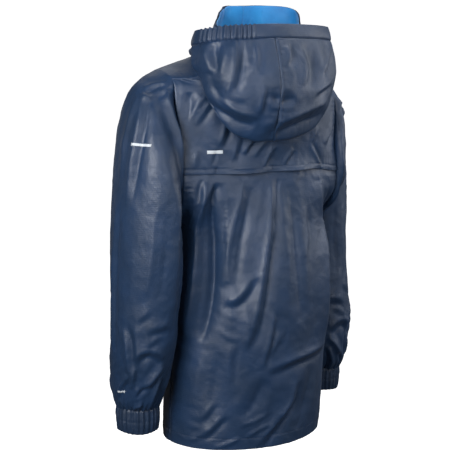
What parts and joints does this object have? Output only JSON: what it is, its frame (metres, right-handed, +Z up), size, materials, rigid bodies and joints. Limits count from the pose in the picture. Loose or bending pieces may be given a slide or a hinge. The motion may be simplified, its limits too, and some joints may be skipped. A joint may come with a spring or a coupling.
{
  "type": "kids raincoat",
  "caption": "Child's hooded rain jacket filled out as worn: stand-up collar, hood hanging behind, yoke flap over the back, full front zip, long sleeves with gathered elastic cuffs.",
  "frame": {"origin": "middle of the neck opening, where the jacket hangs on the wearer's shoulders", "axes": "+X to the wearer's left, +Y to the wearer's back, +Z up from the hem to the collar"},
  "size_m": [0.419, 0.2614, 0.6029],
  "materials": {
    "navy_nylon": "coated nylon, soft broad sheen",
    "navy_elastic": "coated nylon gathered on elastic",
    "blue_lining": "smooth woven lining",
    "zip_tape": "woven tape",
    "zip_plastic": "moulded plastic",
    "zip_metal": "painted die-cast metal"
  },
  "bodies": {
    "jacket": {"back_yoke": "navy_nylon", "back_lower": "navy_nylon", "front_left": "navy_nylon", "front_right": "navy_nylon", "sleeve_left": "navy_nylon", "sleeve_right": "navy_nylon", "collar": "navy_nylon", "collar_lining": "blue_lining", "hood_left": "navy_nylon", "hood_right": "navy_nylon", "hood_casing": "navy_elastic", "cuff_left": "navy_elastic", "cuff_right": "navy_elastic", "zip_tape_left": "zip_tape", "zip_tape_right": "zip_tape", "zip_chain": "zip_plastic", "zip_box": "zip_plastic", "zip_slider": "zip_metal"},
    "pull_tab": {"zip_pull": "zip_metal"}
  },
  "joints": [
    {"name": "zip_pull_swing", "type": "hinge", "parent": "jacket", "child": "pull_tab", "pos_m": [0, -0.06261, 0.034], "axis": [-1, 0, 0], "range_deg": [0, 160]}
  ]
}
